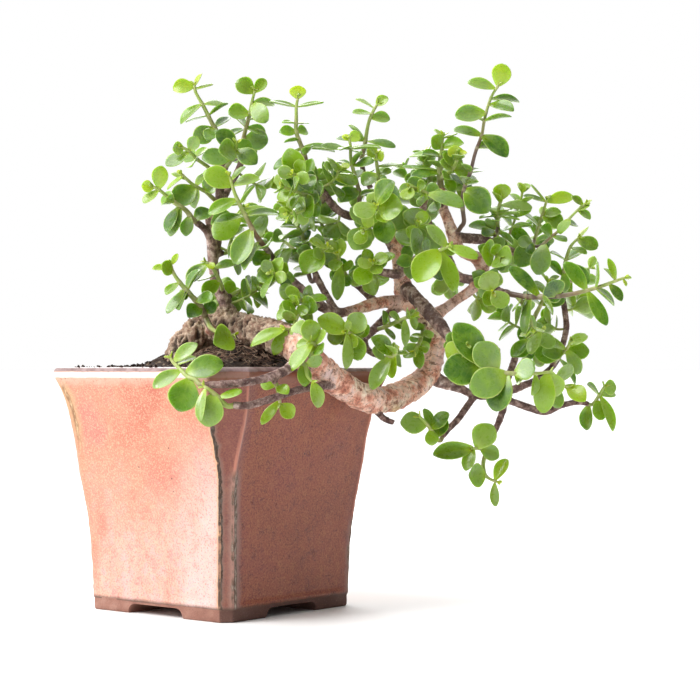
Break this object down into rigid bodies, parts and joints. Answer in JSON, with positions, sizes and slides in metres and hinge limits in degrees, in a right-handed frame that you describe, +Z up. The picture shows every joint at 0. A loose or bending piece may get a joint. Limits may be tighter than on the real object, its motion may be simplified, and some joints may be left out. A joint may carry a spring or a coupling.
{
  "type": "potted elephant bush bonsai",
  "caption": "Cascading bonsai of small fleshy round leaves on a gnarled trunk that leans out over the rim of a flared square glazed pot on corner feet.",
  "frame": {"origin": "middle of the underside of the whole object's box, on the surface that the pot's feet stand on", "axes": "+Z up, +X the way the trunk sweeps out over the rim, -Y the side that shows a corner of the pot"},
  "size_m": [0.3572, 0.231, 0.3378],
  "materials": {
    "glazed_clay": "gloss",
    "potting_soil": "matte",
    "bark": "matte",
    "leaf": "satin"
  },
  "bodies": {
    "root": {"pot": "glazed_clay", "soil": "potting_soil", "spray_arc_tip": "leaf", "spray_back_tip": "leaf", "spray_c_back": "leaf", "spray_c_low": "leaf", "spray_c_side": "leaf", "spray_c_top": "leaf", "spray_cross_front": "leaf", "spray_cross_mid": "leaf", "spray_cross_tip": "leaf", "spray_crown_a": "leaf", "spray_crown_b": "leaf", "spray_crown_back": "leaf", "spray_curl_front": "leaf", "spray_d_front": "leaf", "spray_d_low": "leaf", "spray_d_mid": "leaf", "spray_d_small": "leaf", "spray_d_top": "leaf", "spray_droop_a_tip": "leaf", "spray_droop_b_tip": "leaf", "spray_e_front": "leaf", "spray_far_tip": "leaf", "spray_fork_left": "leaf", "spray_fork_up": "leaf", "spray_front_a_tip": "leaf", "spray_front_b_tip": "leaf", "spray_front_mid": "leaf", "spray_inner_tip": "leaf", "spray_k_top": "leaf", "spray_knee_front": "leaf", "spray_l_left": "leaf", "spray_l_side": "leaf", "spray_l_top": "leaf", "spray_left_f": "leaf", "spray_left_g": "leaf", "spray_left_h": "leaf", "spray_left_in": "leaf", "spray_left_knee": "leaf", "spray_left_low_i": "leaf", "spray_left_low_j": "leaf", "spray_left_low_r": "leaf", "spray_left_mid": "leaf", "spray_left_top_a": "leaf", "spray_left_top_b": "leaf", "spray_long_e": "leaf", "spray_low_far_tip": "leaf", "spray_low_tip": "leaf", "spray_m_top": "leaf", "spray_n_top": "leaf", "spray_o_top": "leaf", "spray_p_long": "leaf", "spray_pale_front": "leaf", "spray_rise_side": "leaf", "spray_rise_tip": "leaf", "spray_small_dark": "leaf", "spray_smooth_tip": "leaf", "spray_trunk_drop": "leaf", "trunk": "bark"}
  },
  "joints": []
}
